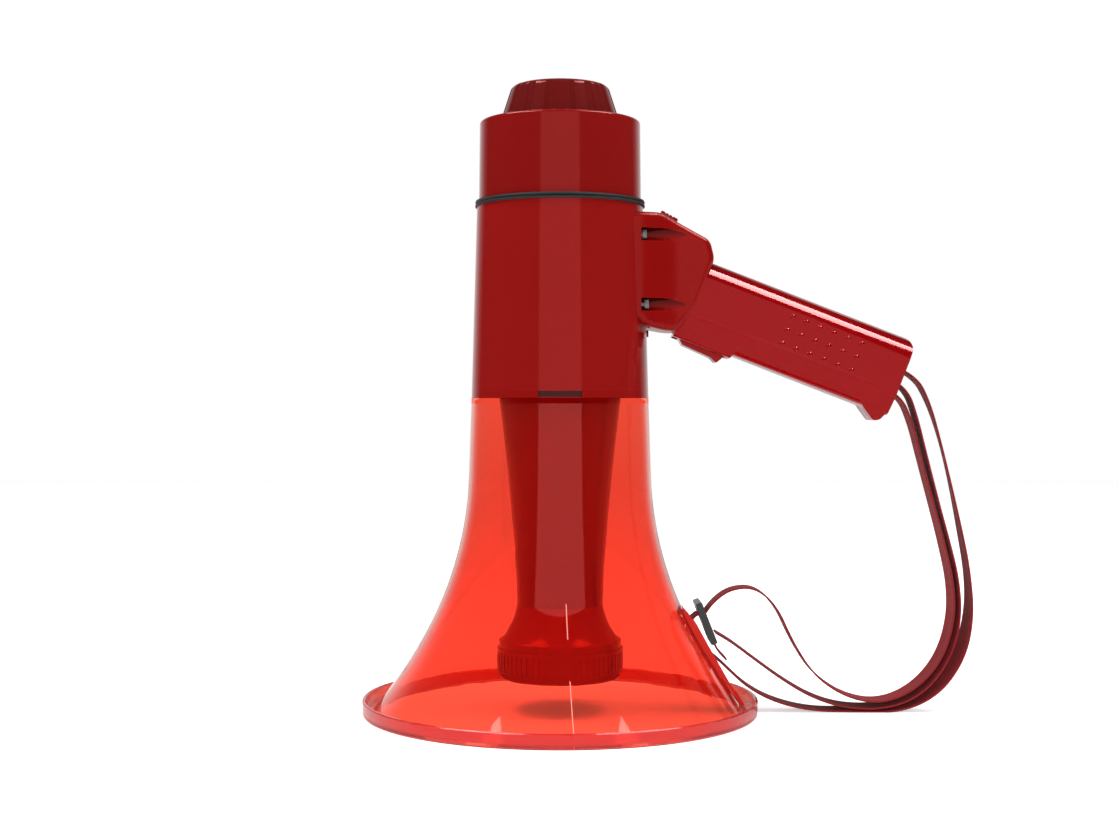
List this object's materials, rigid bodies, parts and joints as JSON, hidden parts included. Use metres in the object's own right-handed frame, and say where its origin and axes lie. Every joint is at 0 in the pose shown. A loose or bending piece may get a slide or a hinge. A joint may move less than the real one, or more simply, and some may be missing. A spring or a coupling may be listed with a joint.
{
  "type": "handheld megaphone",
  "caption": "Handheld megaphone: clear tinted folded-horn bell, battery body with screw-down handle, talk trigger, fluted volume knob round the microphone, and a webbing carrying strap.",
  "frame": {"origin": "centre of the bell's mouth, on the plane of its rim", "axes": "+Z along the horn's axis from the mouth to the volume knob, +X to the side that carries the handle, +Y completing a right-handed frame"},
  "size_m": [0.3544, 0.23, 0.3664],
  "materials": {
    "bell_plastic": "clear tinted, polished",
    "red_plastic": "gloss",
    "handle_plastic": "satin gloss",
    "black_plastic": "matte",
    "black_rubber": "matte",
    "steel": "plated",
    "magnet_iron": "as ground",
    "aluminium_parts": "satin",
    "circuit_board": "lacquered",
    "diaphragm_film": "film",
    "webbing": "woven"
  },
  "bodies": {
    "main": {"bell": "bell_plastic", "strap_lug": "bell_plastic", "inner_horn": "red_plastic", "horn_spider": "red_plastic", "spider_pads": "black_rubber", "driver_housing": "red_plastic", "driver_cap": "red_plastic", "back_plate": "steel", "ring_magnet": "magnet_iron", "top_plate": "steel", "voice_coil": "diaphragm_film", "diaphragm": "diaphragm_film", "phase_plug": "black_plastic", "front_body": "red_plastic", "reflector_cup": "black_plastic", "board_posts": "black_plastic", "circuit_board": "circuit_board", "output_transformer": "steel", "capacitors": "aluminium_parts", "heat_sink": "aluminium_parts", "battery_holder": "black_plastic", "battery_cells": "aluminium_parts", "battery_springs": "steel", "battery_lid": "black_plastic", "lid_contacts": "steel", "lid_screw": "steel", "body_gasket": "black_rubber", "handle_bracket": "handle_plastic", "bracket_screws": "steel", "mode_switch_body": "black_plastic", "grip_left": "handle_plastic", "grip_right": "handle_plastic", "grip_screws": "steel", "strap_bar": "steel", "trigger_pin": "steel", "trigger_spring": "steel", "spring_seat": "black_plastic", "talk_switch": "black_plastic", "strap_outer": "webbing", "strap_middle": "webbing", "strap_inner": "webbing", "strap_slider": "black_plastic", "strap_lug_loop": "webbing", "strap_tail": "webbing"},
    "rear_cover_group": {"rear_cover": "red_plastic", "volume_potentiometer": "black_plastic", "mic_holder": "red_plastic", "mic_capsule": "steel", "mic_grille": "red_plastic", "mic_board": "circuit_board"},
    "volume_knob_group": {"volume_knob": "red_plastic", "knob_clip": "steel"},
    "trigger": {"trigger": "handle_plastic"},
    "switch_plunger": {"switch_plunger": "black_plastic"},
    "mode_knob": {"mode_switch_knob": "black_plastic"}
  },
  "joints": [
    {"name": "cover_pull", "type": "slide", "parent": "main", "child": "rear_cover_group", "axis": [0, 0, 1], "range_m": [0, 0.05]},
    {"name": "volume_turn", "type": "hinge", "parent": "rear_cover_group", "child": "volume_knob_group", "pos_m": [0, 0, 0.3436], "axis": [0, 0, 1], "range_deg": [0, 270]},
    {"name": "trigger_press", "type": "hinge", "parent": "main", "child": "trigger", "pos_m": [0.07376, 0, 0.21807], "axis": [0, -1, 0], "range_deg": [0, 6], "stiffness_Nm_per_rad": 0.3, "springref_deg": -2.86, "deforming": ["trigger_spring"]},
    {"name": "plunger_press", "type": "slide", "parent": "main", "child": "switch_plunger", "axis": [0.3616, 0, 0.9323], "range_m": [0, 0.002]},
    {"name": "mode_slide", "type": "slide", "parent": "main", "child": "mode_knob", "axis": [0.8752, 0, -0.4838], "range_m": [0, 0.004]}
  ],
  "couplings": [
    {"joint": "plunger_press", "follows": "trigger_press", "m_per_rad": 0.0188}
  ]
}
